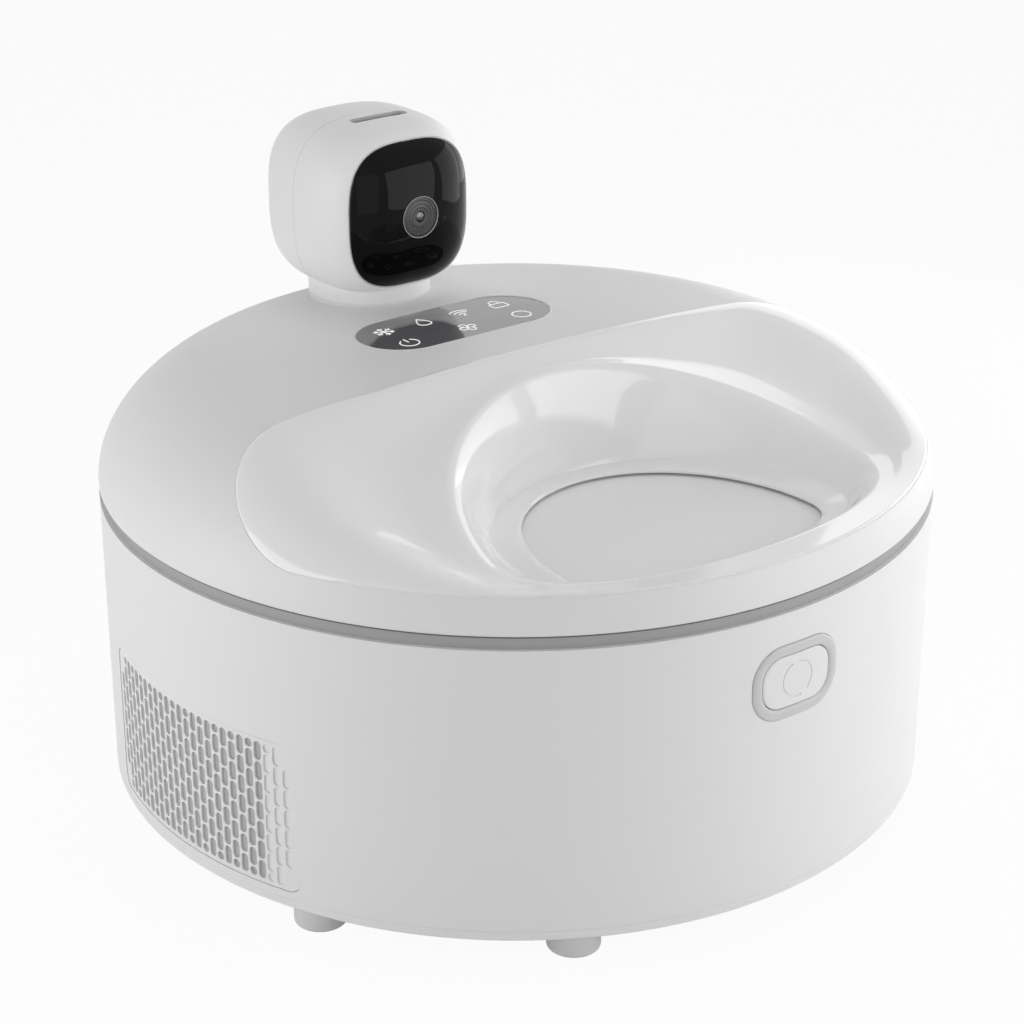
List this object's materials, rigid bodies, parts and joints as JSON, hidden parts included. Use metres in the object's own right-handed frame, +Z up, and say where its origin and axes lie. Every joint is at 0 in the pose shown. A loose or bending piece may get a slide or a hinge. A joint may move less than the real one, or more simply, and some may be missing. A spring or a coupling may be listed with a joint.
{
  "type": "wet food feeder with camera",
  "caption": "Round cooled wet food feeder with a turning bowl tray under a hinged lid with a scooped feeding opening, a front release button, side vents and a panning camera head.",
  "frame": {"origin": "on the floor under the drum's axis", "axes": "+Z up, -Y towards the front with the button, +X to the right as seen from above with the front down"},
  "size_m": [0.32, 0.3208, 0.2441],
  "materials": {
    "matte_white": "fine matte moulding",
    "gloss_white": "high gloss",
    "pale_plastic": "matte",
    "seal_rubber": "matte silicone",
    "foot_rubber": "matte silicone",
    "grey_trim": "satin",
    "grey_gloss": "glossy touch surface",
    "stainless": "brushed",
    "brass": "turned",
    "aluminium": "extruded",
    "ceramic": "matte",
    "black_plastic": "matte",
    "black_glass": "polished dark glass",
    "lens": "coated",
    "circuit_board": "solder mask"
  },
  "bodies": {
    "base": {"base_housing": "matte_white", "base_plate": "matte_white", "rubber_feet": "foot_rubber", "base_screws": "stainless", "rim_seal": "seal_rubber", "left_vent_grille": "matte_white", "right_vent_grille": "matte_white", "cooling_well": "pale_plastic", "shaft_bush": "brass", "cold_plate": "aluminium", "peltier_module": "ceramic", "heat_sink": "aluminium", "fan_frame": "black_plastic", "gear_motor": "stainless", "main_board": "circuit_board", "power_inlet": "black_plastic", "bezel_ring_trim": "grey_trim", "button_guide": "pale_plastic", "latch_tongue": "stainless", "hinge_block": "matte_white", "hinge_pin": "stainless"},
    "turntable": {"drive_shaft": "stainless", "drive_hub": "pale_plastic", "food_tray": "pale_plastic", "food_bowl_1": "stainless", "food_bowl_2": "stainless", "food_bowl_3": "stainless", "food_bowl_4": "stainless"},
    "fan": {"fan_rotor": "black_plastic"},
    "button": {"front_button": "matte_white"},
    "lid": {"top_cover": "matte_white", "feeding_panel": "gloss_white", "control_panel": "grey_gloss", "touch_board": "circuit_board", "lid_liner": "pale_plastic", "latch_keeper": "matte_white", "camera_collar": "matte_white", "pan_motor": "stainless"},
    "camera_head": {"head_neck": "matte_white", "head_rear_shell": "matte_white", "head_front_shell": "matte_white", "front_glass": "black_glass", "lens_barrel": "black_plastic", "lens_glass": "lens", "camera_board": "circuit_board", "touch_strip": "grey_gloss"}
  },
  "joints": [
    {"name": "lid_hinge", "type": "hinge", "parent": "base", "child": "lid", "pos_m": [0, 0.151, 0.1371], "axis": [-1, 0, 0], "range_deg": [0, 95]},
    {"name": "camera_pan", "type": "hinge", "parent": "lid", "child": "camera_head", "pos_m": [0, 0.0985, 0.1714], "axis": [0, 0, 1], "range_deg": [-170, 170]},
    {"name": "tray_turn", "type": "hinge", "parent": "base", "child": "turntable", "pos_m": [0, 0, 0.1], "axis": [0, 0, 1], "continuous": true},
    {"name": "fan_spin", "type": "hinge", "parent": "base", "child": "fan", "pos_m": [-0.13, 0, 0.0443], "axis": [1, 0, 0], "continuous": true},
    {"name": "button_press", "type": "slide", "parent": "base", "child": "button", "axis": [0, 1, 0], "range_m": [0, 0.003], "stiffness_N_per_m": 600, "springref_m": -0.002, "deforming": ["latch_tongue"]}
  ]
}
